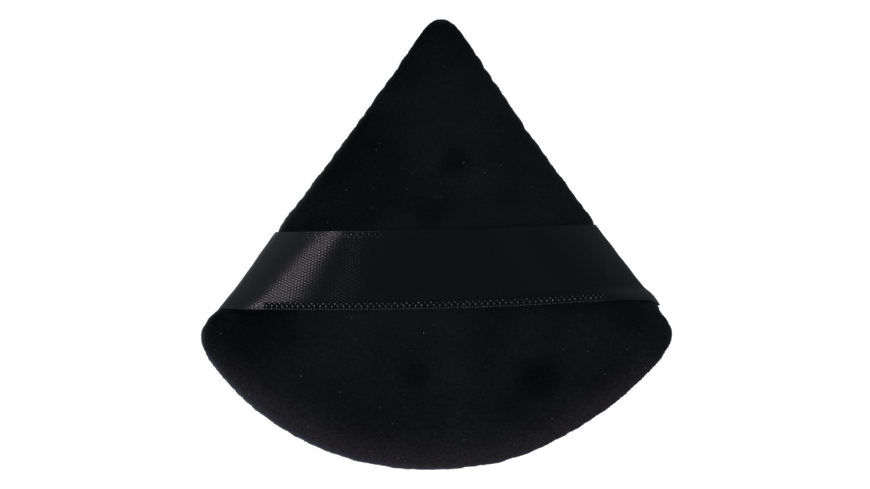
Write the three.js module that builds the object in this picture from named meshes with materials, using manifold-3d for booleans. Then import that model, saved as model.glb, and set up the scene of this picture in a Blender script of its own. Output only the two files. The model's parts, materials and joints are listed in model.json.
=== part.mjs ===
// Fan-shaped velour powder puff: two crowned velour panels, sewn round the edge and turned out over
// a sponge core, with a satin ribbon held in the side seams as a finger loop.
// Millimetres, +Z up. The puff lies on its powder face with the origin under the middle of its box.
// +Y runs to the apex, and the ribbon is on top.

import * as THREE from 'three';
import { mergeVertices } from 'three/addons/utils/BufferGeometryUtils.js';
import Module from 'manifold-3d';

const wasm = await Module();
wasm.setup();

// Outline of the pad, seen from above
const PAD_WIDTH = 80;
const PAD_LENGTH = 76.6;
const APEX_RADIUS = 3.5;
const CORNER_RADIUS = 5.1;
const CORNER_HEIGHT = 22.8; // centres of the two lower corners above the lowest point of the round edge
const SIDE_DRAW_IN = 0.7; // how far the straight sides are pulled in half way along

// Velour panels
const CROWN_HEIGHT = 7; // each panel's dome above or below the seam
const CROWN_FULLNESS = 2.5; // exponent of the dome's section, where 2 is an ellipse
const REST_FLAT_DEPTH = 0.5; // how deep the powder face is flattened where it rests
const VELOUR_THICKNESS = 1.6;
const ALLOWANCE_WIDTH = 5.5; // turned-in seam allowance, from the folded edge to the raw edge
const ALLOWANCE_THICKNESS = 0.9; // velour with its pile pressed flat in the seam

// Satin ribbon
const RIBBON_WIDTH = 13.2;
const RIBBON_THICKNESS = 0.25;
const RIBBON_Y = -3.9; // middle of the ribbon along the pad's length
const RIBBON_TILT = 1.5; // degrees, rising towards +X
const RIBBON_GAP = 6; // finger room between the crown and the ribbon
const RIBBON_FULLNESS = 2.2; // exponent of the bow's section
const RIBBON_TURN_RADIUS = 0.5; // bend where the ribbon leaves the seam and turns up

// Sewing threads
const THREAD_DIAMETER = 0.4;
const SEAM_POINT_SPACING = 2.5;
const SLIP_PITCH = 5; // one stitch in each fold of the closed turning gap
const SLIP_BITE = 0.3; // reach of the slip stitch into each fold
const SLIP_LIP = 0.5; // velour left outside the slip stitch
const CLOSING_MARGIN = 5; // from the turning gap to the ribbon and to the apex rounding
const TACK_PITCH = 1.6;

// Room between pieces that touch
const FIT_CLEARANCE = 0.3;

// Fineness of the faces
const BOTTOM_STEPS = 12;
const CORNER_STEPS = 6;
const SIDE_STEPS = 10;
const APEX_STEPS = 4;
const DOME_STEP = THREE.MathUtils.degToRad(13);
const BOW_STEPS = 9;
const TURN_STEPS = 3;
const RIBBON_CROSS_STEPS = 3;
const THREAD_SIDES = 5;
const ZIGZAG_STEPS = 3; // faces along each stroke of a zigzag thread

// Heights are measured from the seam plane, which lies this far above the surface the puff rests on
const seamHeight = CROWN_HEIGHT - REST_FLAT_DEPTH;
const allowanceUnderside = FIT_CLEARANCE / 2;
const allowanceTop = allowanceUnderside + ALLOWANCE_THICKNESS;
const threadHeight = allowanceTop + FIT_CLEARANCE + THREAD_DIAMETER / 2;

// Circles that the outline is drawn from
const bottomY = -PAD_LENGTH / 2;
const cornerX = PAD_WIDTH / 2 - CORNER_RADIUS;
const cornerCentre = new THREE.Vector2(cornerX, bottomY + CORNER_HEIGHT);
const apexCentre = new THREE.Vector2(0, PAD_LENGTH / 2 - APEX_RADIUS);
const arcRadius = (cornerX ** 2 + CORNER_HEIGHT ** 2 - CORNER_RADIUS ** 2)
  / (2 * (CORNER_HEIGHT - CORNER_RADIUS));
const arcCentre = new THREE.Vector2(0, bottomY + arcRadius);

// The right side is the outer tangent of the apex and corner circles
const apexToCorner = cornerCentre.clone().sub(apexCentre);
const sideAngle = Math.atan2(apexToCorner.y, apexToCorner.x)
  + Math.acos((APEX_RADIUS - CORNER_RADIUS) / apexToCorner.length());
const sideNormal = new THREE.Vector2(Math.cos(sideAngle), Math.sin(sideAngle));

// The largest circle inside the outline: rings shrink to its centre
const sideDistance = sideNormal.dot(cornerCentre) + CORNER_RADIUS - SIDE_DRAW_IN;
const middleY = (sideDistance + bottomY) / (1 + sideNormal.y);
const middleRadius = middleY - bottomY;

function arcPoints(centre, radius, fromAngle, toAngle, steps) {
  return Array.from({ length: steps + 1 }, (_, i) => {
    const angle = fromAngle + ((toAngle - fromAngle) * i) / steps;
    return new THREE.Vector2(Math.cos(angle), Math.sin(angle)).multiplyScalar(radius).add(centre);
  });
}

function sidePoints() {
  const from = sideNormal.clone().multiplyScalar(CORNER_RADIUS).add(cornerCentre);
  const to = sideNormal.clone().multiplyScalar(APEX_RADIUS).add(apexCentre);
  return Array.from({ length: SIDE_STEPS + 1 }, (_, i) => {
    const share = i / SIDE_STEPS;
    const drawIn = SIDE_DRAW_IN * Math.sin(Math.PI * share);
    return from.clone().lerp(to, share).addScaledVector(sideNormal, -drawIn);
  });
}

// Counter-clockwise from the bottom, with the right half first
function makeOutline() {
  const cornerAngle = Math.atan2(cornerCentre.y - arcCentre.y, cornerCentre.x);
  const right = [
    ...arcPoints(arcCentre, arcRadius, -Math.PI / 2, cornerAngle, BOTTOM_STEPS),
    ...arcPoints(cornerCentre, CORNER_RADIUS, cornerAngle, sideAngle, CORNER_STEPS).slice(1),
    ...sidePoints().slice(1),
    ...arcPoints(apexCentre, APEX_RADIUS, sideAngle, Math.PI / 2, APEX_STEPS).slice(1),
  ];
  const left = right.slice(1, -1).reverse().map((point) => new THREE.Vector2(-point.x, point.y));
  return [...right, ...left];
}

const outline = makeOutline();

// Distance along the outline at each of its points, and once round
const distances = outline.reduce((list, point, i) => {
  const next = outline[(i + 1) % outline.length];
  return [...list, list[i] + point.distanceTo(next)];
}, [0]);
const perimeter = distances[outline.length];

function outlineAt(distance) {
  const along = THREE.MathUtils.euclideanModulo(distance, perimeter);
  const i = distances.findIndex((end, k) => k > 0 && end >= along) - 1;
  const share = (along - distances[i]) / (distances[i + 1] - distances[i]);
  return outline[i].clone().lerp(outline[(i + 1) % outline.length], share);
}

// A point of the outline drawn in by an inset, at a height over the seam
function inset(point, depth, height) {
  const scale = 1 - depth / middleRadius;
  return new THREE.Vector3(point.x * scale, middleY + (point.y - middleY) * scale, height);
}

function ring(depth, height) {
  return outline.map((point) => inset(point, depth, height));
}

function pole(height) {
  return [new THREE.Vector3(0, middleY, height)];
}

// Closed surface through rings in order, each either a full ring or a single pole
function loft(rings) {
  const points = rings.flat();
  const starts = [];
  rings.reduce((start, loop) => {
    starts.push(start);
    return start + loop.length;
  }, 0);
  const at = (k, i) => starts[k] + (i % rings[k].length);
  const faces = [];
  for (let k = 0; k + 1 < rings.length; k += 1) {
    for (let i = 0; i < outline.length; i += 1) {
      if (rings[k + 1].length > 1) {
        faces.push(at(k, i), at(k + 1, i), at(k + 1, i + 1));
      }
      if (rings[k].length > 1) {
        faces.push(at(k, i), at(k + 1, i + 1), at(k, i + 1));
      }
    }
  }
  return new THREE.BufferGeometry().setFromPoints(points).setIndex(faces);
}

// Angle of the dome's section at a height, and its inset there
function domeAngle(height, rise) {
  return Math.asin(Math.min(1, height / rise) ** (CROWN_FULLNESS / 2));
}

function domeInset(angle, wall) {
  return wall + (middleRadius - wall) * (1 - Math.cos(angle) ** (2 / CROWN_FULLNESS));
}

// Rings of a dome that lies one wall inside the panel's outer face, from a height up to a height
function domeRings(wall, fromHeight, toHeight, side) {
  const rise = CROWN_HEIGHT - wall;
  const first = domeAngle(fromHeight, rise);
  const last = domeAngle(toHeight, rise);
  const margin = DOME_STEP / 3;
  const angles = [first];
  for (let angle = DOME_STEP; angle < last - margin; angle += DOME_STEP) {
    if (angle > first + margin) {
      angles.push(angle);
    }
  }
  if (toHeight < rise) {
    angles.push(last);
  }
  return angles.map((angle) => {
    const height = rise * Math.sin(angle) ** (2 / CROWN_FULLNESS);
    return ring(domeInset(angle, wall), side * height);
  });
}

function solidOf(geometry) {
  const bare = geometry.clone();
  bare.deleteAttribute('normal');
  bare.deleteAttribute('uv');
  const merged = mergeVertices(bare);
  return new wasm.Manifold(new wasm.Mesh({
    numProp: 3,
    vertProperties: new Float32Array(merged.getAttribute('position').array),
    triVerts: new Uint32Array(merged.getIndex().array),
  }));
}

function geometryOf(solid) {
  const mesh = solid.getMesh();
  const geometry = new THREE.BufferGeometry();
  geometry.setAttribute('position', new THREE.BufferAttribute(mesh.vertProperties, 3));
  geometry.setIndex(new THREE.BufferAttribute(mesh.triVerts, 1));
  return geometry;
}

// Ribbon lines: along the strip and across it, seen from above
const tilt = THREE.MathUtils.degToRad(RIBBON_TILT);
const ribbonAlong = new THREE.Vector2(Math.cos(tilt), Math.sin(tilt));
const ribbonAcross = new THREE.Vector2(-Math.sin(tilt), Math.cos(tilt));
const ribbonMiddle = new THREE.Vector2(0, RIBBON_Y);
const ribbonTop = CROWN_HEIGHT + RIBBON_GAP + RIBBON_THICKNESS / 2;

// Where a line of the ribbon leaves the pad: its distance from the ribbon's middle, and round the outline
function ribbonExit(across, side) {
  const start = ribbonMiddle.clone().addScaledVector(ribbonAcross, across);
  const crossings = outline.flatMap((point, i) => {
    const from = point.clone().sub(start);
    const to = outline[(i + 1) % outline.length].clone().sub(start);
    const fromSide = from.dot(ribbonAcross);
    const toSide = to.dot(ribbonAcross);
    if (fromSide * toSide > 0) {
      return [];
    }
    const share = fromSide / (fromSide - toSide);
    return [{
      reach: side * from.lerp(to, share).dot(ribbonAlong),
      station: THREE.MathUtils.lerp(distances[i], distances[i + 1], share),
    }];
  });
  return crossings.reduce((far, crossing) => (crossing.reach > far.reach ? crossing : far));
}

// Length along the ribbon that one unit of inset takes up on the slanted side
function ribbonSlope(side) {
  return 1 / Math.cos(sideAngle - side * tilt);
}

// Half of the ribbon's section from its tail in the seam to the middle: inset from the edge, and height
function ribbonHalfSection(run) {
  const turn = RIBBON_TURN_RADIUS;
  const tail = [
    new THREE.Vector2(ALLOWANCE_WIDTH, 0),
    new THREE.Vector2(ALLOWANCE_WIDTH / 2, 0),
  ];
  const bend = Array.from({ length: TURN_STEPS }, (_, i) => {
    const angle = (Math.PI / 2) * (i / TURN_STEPS);
    return new THREE.Vector2(-turn * Math.sin(angle), turn * (1 - Math.cos(angle)));
  });
  const bow = Array.from({ length: BOW_STEPS + 1 }, (_, i) => {
    const angle = (Math.PI / 2) * (i / BOW_STEPS);
    const share = Math.max(0, Math.cos(angle)) ** (2 / RIBBON_FULLNESS);
    const lift = Math.sin(angle) ** (2 / RIBBON_FULLNESS);
    return new THREE.Vector2(-turn + (run + turn) * (1 - share), turn + (ribbonTop - turn) * lift);
  });
  return [...tail, ...bend, ...bow];
}

// One line along the ribbon, left tail to right tail: distance from the middle, and height
function ribbonLine(across) {
  const halfLine = (side) => {
    const { reach } = ribbonExit(across, side);
    const slope = ribbonSlope(side);
    return ribbonHalfSection(reach / slope)
      .map(({ x, y }) => new THREE.Vector2(side * (reach - x * slope), y));
  };
  return [...halfLine(-1), ...halfLine(1).reverse().slice(1)];
}

function makeRibbon() {
  const top = [];
  const underside = [];
  const lines = Array.from({ length: RIBBON_CROSS_STEPS + 1 }, (_, j) => {
    const across = RIBBON_WIDTH * (j / RIBBON_CROSS_STEPS - 1 / 2);
    return { across, stations: ribbonLine(across) };
  });
  lines.forEach(({ across, stations }) => {
    stations.forEach((station, i) => {
      const before = stations[Math.max(0, i - 1)];
      const after = stations[Math.min(stations.length - 1, i + 1)];
      const tangent = after.clone().sub(before).normalize();
      const normal = new THREE.Vector2(-tangent.y, tangent.x);
      [[top, 1], [underside, -1]].forEach(([face, sign]) => {
        const shifted = station.clone().addScaledVector(normal, (sign * RIBBON_THICKNESS) / 2);
        const plan = ribbonMiddle.clone()
          .addScaledVector(ribbonAcross, across)
          .addScaledVector(ribbonAlong, shifted.x);
        face.push(new THREE.Vector3(plan.x, plan.y, shifted.y));
      });
    });
  });
  const length = lines[0].stations.length;
  const upper = (i, j) => j * length + i;
  const lower = (i, j) => top.length + upper(i, j);
  const faces = [];
  const quad = (a, b, c, d) => faces.push(a, b, c, a, c, d);
  const last = RIBBON_CROSS_STEPS;
  const end = length - 1;
  for (let i = 0; i < end; i += 1) {
    for (let j = 0; j < last; j += 1) {
      quad(upper(i, j), upper(i + 1, j), upper(i + 1, j + 1), upper(i, j + 1));
      quad(lower(i, j), lower(i, j + 1), lower(i + 1, j + 1), lower(i + 1, j));
    }
    quad(upper(i, 0), lower(i, 0), lower(i + 1, 0), upper(i + 1, 0));
    quad(upper(i, last), upper(i + 1, last), lower(i + 1, last), lower(i, last));
  }
  for (let j = 0; j < last; j += 1) {
    quad(upper(0, j), upper(0, j + 1), lower(0, j + 1), lower(0, j));
    quad(upper(end, j), lower(end, j), lower(end, j + 1), upper(end, j + 1));
  }
  return new THREE.BufferGeometry().setFromPoints([...top, ...underside]).setIndex(faces);
}

// Room for a ribbon tail between the two allowances, open at the folded edge and at the raw edge
function tailPocket(side) {
  const halfWidth = RIBBON_WIDTH / 2 + FIT_CLEARANCE;
  const halfHeight = RIBBON_THICKNESS / 2 + FIT_CLEARANCE;
  const slope = ribbonSlope(side);
  const corner = (across, depth) => {
    const distance = side * (ribbonExit(across, side).reach - depth * slope);
    return ribbonMiddle.clone()
      .addScaledVector(ribbonAcross, across)
      .addScaledVector(ribbonAlong, distance);
  };
  const outside = -VELOUR_THICKNESS;
  const inside = ALLOWANCE_WIDTH + FIT_CLEARANCE;
  const plan = new THREE.Shape([
    corner(-halfWidth, outside),
    corner(halfWidth, outside),
    corner(halfWidth, inside),
    corner(-halfWidth, inside),
  ]);
  const options = { depth: 2 * halfHeight, bevelEnabled: false };
  return solidOf(new THREE.ExtrudeGeometry(plan, options).translate(0, 0, -halfHeight));
}

// The turning gap on the right side, between the ribbon and the apex rounding
const apexSideEnd = distances[BOTTOM_STEPS + CORNER_STEPS + SIDE_STEPS];
const closingStart = ribbonExit(RIBBON_WIDTH / 2, 1).station + CLOSING_MARGIN;
const closingEnd = apexSideEnd - CLOSING_MARGIN;
const slipInset = SLIP_LIP + FIT_CLEARANCE + THREAD_DIAMETER / 2;

// Room for the slip stitch inside the two folded edges
function closingChannel() {
  const room = THREAD_DIAMETER / 2 + FIT_CLEARANCE;
  const from = closingStart - FIT_CLEARANCE;
  const to = closingEnd + FIT_CLEARANCE;
  const line = (depth) => Array.from({ length: SIDE_STEPS + 1 }, (_, i) => {
    const { x, y } = inset(outlineAt(from + ((to - from) * i) / SIDE_STEPS), depth, 0);
    return new THREE.Vector2(x, y);
  });
  const plan = new THREE.Shape([...line(slipInset - room), ...line(slipInset + room).reverse()]);
  const halfHeight = SLIP_BITE + room;
  const options = { depth: 2 * halfHeight, bevelEnabled: false };
  return solidOf(new THREE.ExtrudeGeometry(plan, options).translate(0, 0, -halfHeight));
}

// A panel from its crown over the folded edge to the raw edge, and back along its inside
function makePanel(side, flatDepth) {
  const crown = CROWN_HEIGHT - flatDepth;
  const rings = [
    pole(side * crown),
    ...domeRings(0, allowanceUnderside, crown, side).reverse(),
    ring(ALLOWANCE_WIDTH, side * allowanceUnderside),
    ring(ALLOWANCE_WIDTH, side * allowanceTop),
    ...domeRings(VELOUR_THICKNESS, allowanceTop, crown - VELOUR_THICKNESS, side),
    pole(side * (crown - VELOUR_THICKNESS)),
  ];
  const shell = loft(side > 0 ? rings : rings.reverse());
  const rooms = [tailPocket(-1), tailPocket(1), closingChannel()];
  return geometryOf(rooms.reduce((solid, room) => solid.subtract(room), solidOf(shell)));
}

// The sponge fills both panels and is slit round its edge for the allowances and their threads
function makeCore() {
  const wall = VELOUR_THICKNESS + FIT_CLEARANCE;
  const slit = threadHeight + THREAD_DIAMETER / 2 + FIT_CLEARANCE;
  const slitDepth = ALLOWANCE_WIDTH + FIT_CLEARANCE;
  const crown = CROWN_HEIGHT - wall;
  const flat = seamHeight - wall;
  return loft([
    pole(crown),
    ...domeRings(wall, slit, crown, 1).reverse(),
    ring(slitDepth, slit),
    ring(slitDepth, -slit),
    ...domeRings(wall, slit, flat, -1),
    pole(-flat),
  ]);
}

function threadAlong(points, steps) {
  const section = Array.from({ length: THREAD_SIDES }, (_, i) => {
    const angle = (2 * Math.PI * i) / THREAD_SIDES;
    return new THREE.Vector2(Math.cos(angle), Math.sin(angle)).multiplyScalar(THREAD_DIAMETER / 2);
  });
  const path = new THREE.CatmullRomCurve3(points);
  path.arcLengthDivisions = points.length * 8;
  return new THREE.ExtrudeGeometry(new THREE.Shape(section), { steps, extrudePath: path });
}

// The seam rows lie on the allowances, close inside the panel wall
const wallAtThread = domeInset(
  domeAngle(threadHeight + THREAD_DIAMETER / 2, CROWN_HEIGHT - VELOUR_THICKNESS),
  VELOUR_THICKNESS,
);
const seamRowInset = wallAtThread + FIT_CLEARANCE + THREAD_DIAMETER / 2;

function makeSeamThread(side) {
  const length = perimeter - (closingEnd - closingStart);
  const steps = Math.round(length / SEAM_POINT_SPACING);
  const points = Array.from({ length: steps + 1 }, (_, i) => {
    const distance = closingEnd + (length * i) / steps;
    return inset(outlineAt(distance), seamRowInset, side * threadHeight);
  });
  return threadAlong(points, steps);
}

// A zigzag between two rails, one stroke for each half pitch
function zigzagThread(from, to, pitch, railA, railB) {
  const strokes = Math.max(2, Math.round((2 * (to - from)) / pitch));
  const points = Array.from({ length: strokes + 1 }, (_, i) => {
    const rail = i % 2 === 0 ? railA : railB;
    return inset(outlineAt(from + ((to - from) * i) / strokes), rail.depth, rail.height);
  });
  return threadAlong(points, strokes * ZIGZAG_STEPS);
}

function makeClosingThread() {
  const above = { depth: slipInset, height: SLIP_BITE };
  const below = { depth: slipInset, height: -SLIP_BITE };
  return zigzagThread(closingStart, closingEnd, SLIP_PITCH, above, below);
}

// The tack fills the allowance over a tail, between the seam row and the raw edge
function makeRibbonTack(side) {
  const ends = [-1, 1].map((end) => ribbonExit((end * RIBBON_WIDTH) / 2, side).station);
  const outer = { depth: seamRowInset + FIT_CLEARANCE + THREAD_DIAMETER, height: threadHeight };
  const inner = { depth: ALLOWANCE_WIDTH - THREAD_DIAMETER / 2, height: threadHeight };
  return zigzagThread(Math.min(...ends), Math.max(...ends), TACK_PITCH, outer, inner);
}

const velour = new THREE.MeshStandardMaterial({ color: '#0f1113', roughness: 0.95, metalness: 0 });
const satin = new THREE.MeshStandardMaterial({ color: '#14161a', roughness: 0.4, metalness: 0 });
const sponge = new THREE.MeshStandardMaterial({ color: '#e8e3d8', roughness: 1, metalness: 0 });
const thread = new THREE.MeshStandardMaterial({ color: '#0c0d0f', roughness: 0.6, metalness: 0 });

function piece(name, geometry, material) {
  const mesh = new THREE.Mesh(geometry, material);
  mesh.name = name;
  return mesh;
}

const pad = new THREE.Group();
pad.add(
  piece('back_panel', makePanel(1, 0), velour),
  piece('face_panel', makePanel(-1, REST_FLAT_DEPTH), velour),
  piece('sponge_core', makeCore(), sponge),
  piece('seam_needle_thread', makeSeamThread(1), thread),
  piece('seam_bobbin_thread', makeSeamThread(-1), thread),
  piece('closing_thread', makeClosingThread(), thread),
  piece('left_ribbon_tack', makeRibbonTack(-1), thread),
  piece('right_ribbon_tack', makeRibbonTack(1), thread),
);

const puff = new THREE.Group();
puff.add(pad, piece('satin_ribbon', makeRibbon(), satin));
puff.position.z = seamHeight;

export default puff;
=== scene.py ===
"""Looks of a fan-shaped velour powder puff with a satin ribbon across its back as a finger loop."""

from __future__ import annotations

import json
import logging
import math
from collections.abc import Callable
from dataclasses import dataclass
from enum import Enum
from functools import partial
from typing import Any

import bmesh
import bpy
import numpy as np
from mathutils import Matrix, Vector

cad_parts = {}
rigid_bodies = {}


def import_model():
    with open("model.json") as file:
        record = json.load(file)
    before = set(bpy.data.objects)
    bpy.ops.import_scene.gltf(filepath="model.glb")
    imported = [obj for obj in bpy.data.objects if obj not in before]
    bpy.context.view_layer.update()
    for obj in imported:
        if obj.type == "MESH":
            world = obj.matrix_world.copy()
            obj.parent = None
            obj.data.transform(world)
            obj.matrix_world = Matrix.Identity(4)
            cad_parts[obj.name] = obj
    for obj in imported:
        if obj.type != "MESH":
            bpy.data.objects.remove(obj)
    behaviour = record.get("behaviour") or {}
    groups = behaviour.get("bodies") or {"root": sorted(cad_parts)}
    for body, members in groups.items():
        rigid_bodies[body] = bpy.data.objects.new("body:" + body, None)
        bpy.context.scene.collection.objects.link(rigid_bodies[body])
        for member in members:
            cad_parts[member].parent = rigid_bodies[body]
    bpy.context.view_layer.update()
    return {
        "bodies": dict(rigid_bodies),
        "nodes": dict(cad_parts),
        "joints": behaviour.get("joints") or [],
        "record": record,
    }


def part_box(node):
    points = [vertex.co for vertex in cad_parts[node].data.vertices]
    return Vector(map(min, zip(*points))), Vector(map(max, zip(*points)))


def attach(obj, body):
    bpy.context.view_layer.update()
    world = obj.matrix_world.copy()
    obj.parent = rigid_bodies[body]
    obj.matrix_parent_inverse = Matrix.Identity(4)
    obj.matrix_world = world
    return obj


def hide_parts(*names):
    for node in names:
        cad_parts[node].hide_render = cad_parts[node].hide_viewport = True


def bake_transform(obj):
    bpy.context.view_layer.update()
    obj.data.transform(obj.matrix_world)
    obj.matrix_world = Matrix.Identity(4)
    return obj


LOG = logging.getLogger("powder_puff")
MM = 0.001
CAD_RIBBON_THICKNESS = 0.25 * MM
WELD = 0.001 * MM
# Lengths below this count as none
LEAST = 1e-9
# Keeps a place just inside the last cell of a grid
CELL_END = 1e-6
# Colour sockets of a Mix node, which share their names with its other sockets
MIX_A, MIX_B, MIX_RESULT = 6, 7, 2
RANGE_ENDS = ("From Min", "From Max", "To Min", "To Max")

Adder = Callable[..., Any]
Socket = bpy.types.NodeSocket


@dataclass(frozen=True)
class StitchRow:
    """A row of thread floats in the ribbon's selvedge, each one a small half-sunk bead."""

    inset: float
    pitch: float
    shift: float
    along: float
    across: float
    height: float


@dataclass(frozen=True)
class Flank:
    """One side of the ribbon's bow: its slopes, and how far in each one is, along both edges."""

    slopes: tuple[float, ...]
    lower: tuple[float, ...]
    upper: tuple[float, ...]
    steps: int = 160

    def section(self, share: float, height: float) -> np.ndarray:
        """The flank's long section.

        Args:
            share: The way across the ribbon, 0 at its lower edge and 1 at its upper one.
            height: How high it climbs.

        Returns:
            Rows of the distance in and the height climbed.
        """
        knots = np.array(self.lower) + share * (np.array(self.upper) - np.array(self.lower))
        inward = np.linspace(0, knots[-1], self.steps)
        slope = np.interp(inward, knots, self.slopes)
        climb = np.r_[0, np.cumsum((slope[1:] + slope[:-1]) / 2)]
        return np.column_stack([inward, height * climb / climb[-1]])[1:]


class Sided(Enum):
    """A choice between two pieces, each with the side that it lies on."""

    @property
    def title(self) -> str:
        """The piece's name."""
        return self.value[0]

    @property
    def side(self) -> float:
        """1 for the upper piece, -1 for the lower one."""
        return self.value[1]


class Panel(Sided):
    """The two velour panels' nodes in the frame, above and below the seam."""

    BACK = ("back_panel", 1.0)
    FACE = ("face_panel", -1.0)


class Edge(Sided):
    """The ribbon's two woven edges, nearer the apex and nearer the front."""

    UPPER = ("upper_selvedge", 1.0)
    LOWER = ("lower_selvedge", -1.0)


class Rays(Enum):
    """What a lamp adds to: everything, only the gloss, or only the even light on the cloth."""

    ALL = "all"
    GLOSS = "gloss"
    DIFFUSE = "diffuse"


def linear(colour: str) -> tuple[float, float, float, float]:
    """Turns an sRGB hex colour to linear.

    Args:
        colour: The colour as "#rrggbb".

    Returns:
        Linear red, green, blue and an alpha of one.
    """
    shares = [int(colour[i : i + 2], 16) / 255 for i in (1, 3, 5)]
    red, green, blue = (s / 12.92 if s <= 0.04045 else ((s + 0.055) / 1.055) ** 2.4 for s in shares)
    return (red, green, blue, 1.0)


def add_node(
    tree: bpy.types.NodeTree, kind: str, inputs: dict[Any, Any] | None = None, **settings: Any
) -> bpy.types.NodeOutputs:
    """Adds a node with its settings, and sets or links its inputs.

    Args:
        tree: The node tree that takes the node.
        kind: The node's type, without the word that starts them all.
        inputs: Each input's name or number, with its value or the socket that feeds it.
        settings: Properties of the node itself.

    Returns:
        The new node's outputs.
    """
    node = tree.nodes.new(f"ShaderNode{kind}")
    for name, value in settings.items():
        setattr(node, name, value)
    for name, value in (inputs or {}).items():
        if isinstance(value, Socket):
            tree.links.new(value, node.inputs[name])
        else:
            node.inputs[name].default_value = value
    return node.outputs


def new_material(name: str) -> tuple[bpy.types.Material, Adder]:
    """Starts an empty node material.

    Args:
        name: The real material's name.

    Returns:
        The material, and what adds a node to it.
    """
    material = bpy.data.materials.new(name)
    material.use_nodes = True
    material.node_tree.nodes.clear()
    return material, partial(add_node, material.node_tree)


def dress(piece: bpy.types.Object, material: bpy.types.Material) -> None:
    """Gives a piece one material all over."""
    piece.data.materials.clear()
    piece.data.materials.append(material)


def points_of(mesh: bpy.types.Mesh) -> np.ndarray:
    """Reads a mesh's vertex places as rows of x, y, z."""
    flat = np.zeros(len(mesh.vertices) * 3)
    mesh.vertices.foreach_get("co", flat)
    return flat.reshape(-1, 3)


def move_points(mesh: bpy.types.Mesh, points: np.ndarray) -> None:
    """Writes a mesh's vertex places back."""
    mesh.vertices.foreach_set("co", points.ravel())
    mesh.update()


def close_mesh(name: str, form: bmesh.types.BMesh) -> bpy.types.Mesh:
    """Turns a finished bmesh to a mesh, and frees it."""
    mesh = bpy.data.meshes.new(name)
    form.to_mesh(mesh)
    form.free()
    return mesh


def new_piece(name: str, form: bmesh.types.BMesh) -> bpy.types.Object:
    """Makes an object of a finished bmesh and puts it in the scene, at the origin."""
    piece = bpy.data.objects.new(name, close_mesh(name, form))
    bpy.context.scene.collection.objects.link(piece)
    return piece


def settle(piece: bpy.types.Object) -> None:
    """Makes what the modifiers give the piece's own mesh, and leaves no modifier on it.

    Args:
        piece: The piece to settle.
    """
    bpy.context.view_layer.update()
    seen = piece.evaluated_get(bpy.context.evaluated_depsgraph_get())
    settled = bpy.data.meshes.new_from_object(seen)
    old = piece.data
    piece.modifiers.clear()
    piece.data = settled
    bpy.data.meshes.remove(old)


def smooth_step(value: np.ndarray | float, low: float, high: float) -> np.ndarray:
    """Rises smoothly from 0 at low to 1 at high."""
    share = np.clip((value - low) / (high - low), 0, 1)
    return share * share * (3 - 2 * share)


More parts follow.
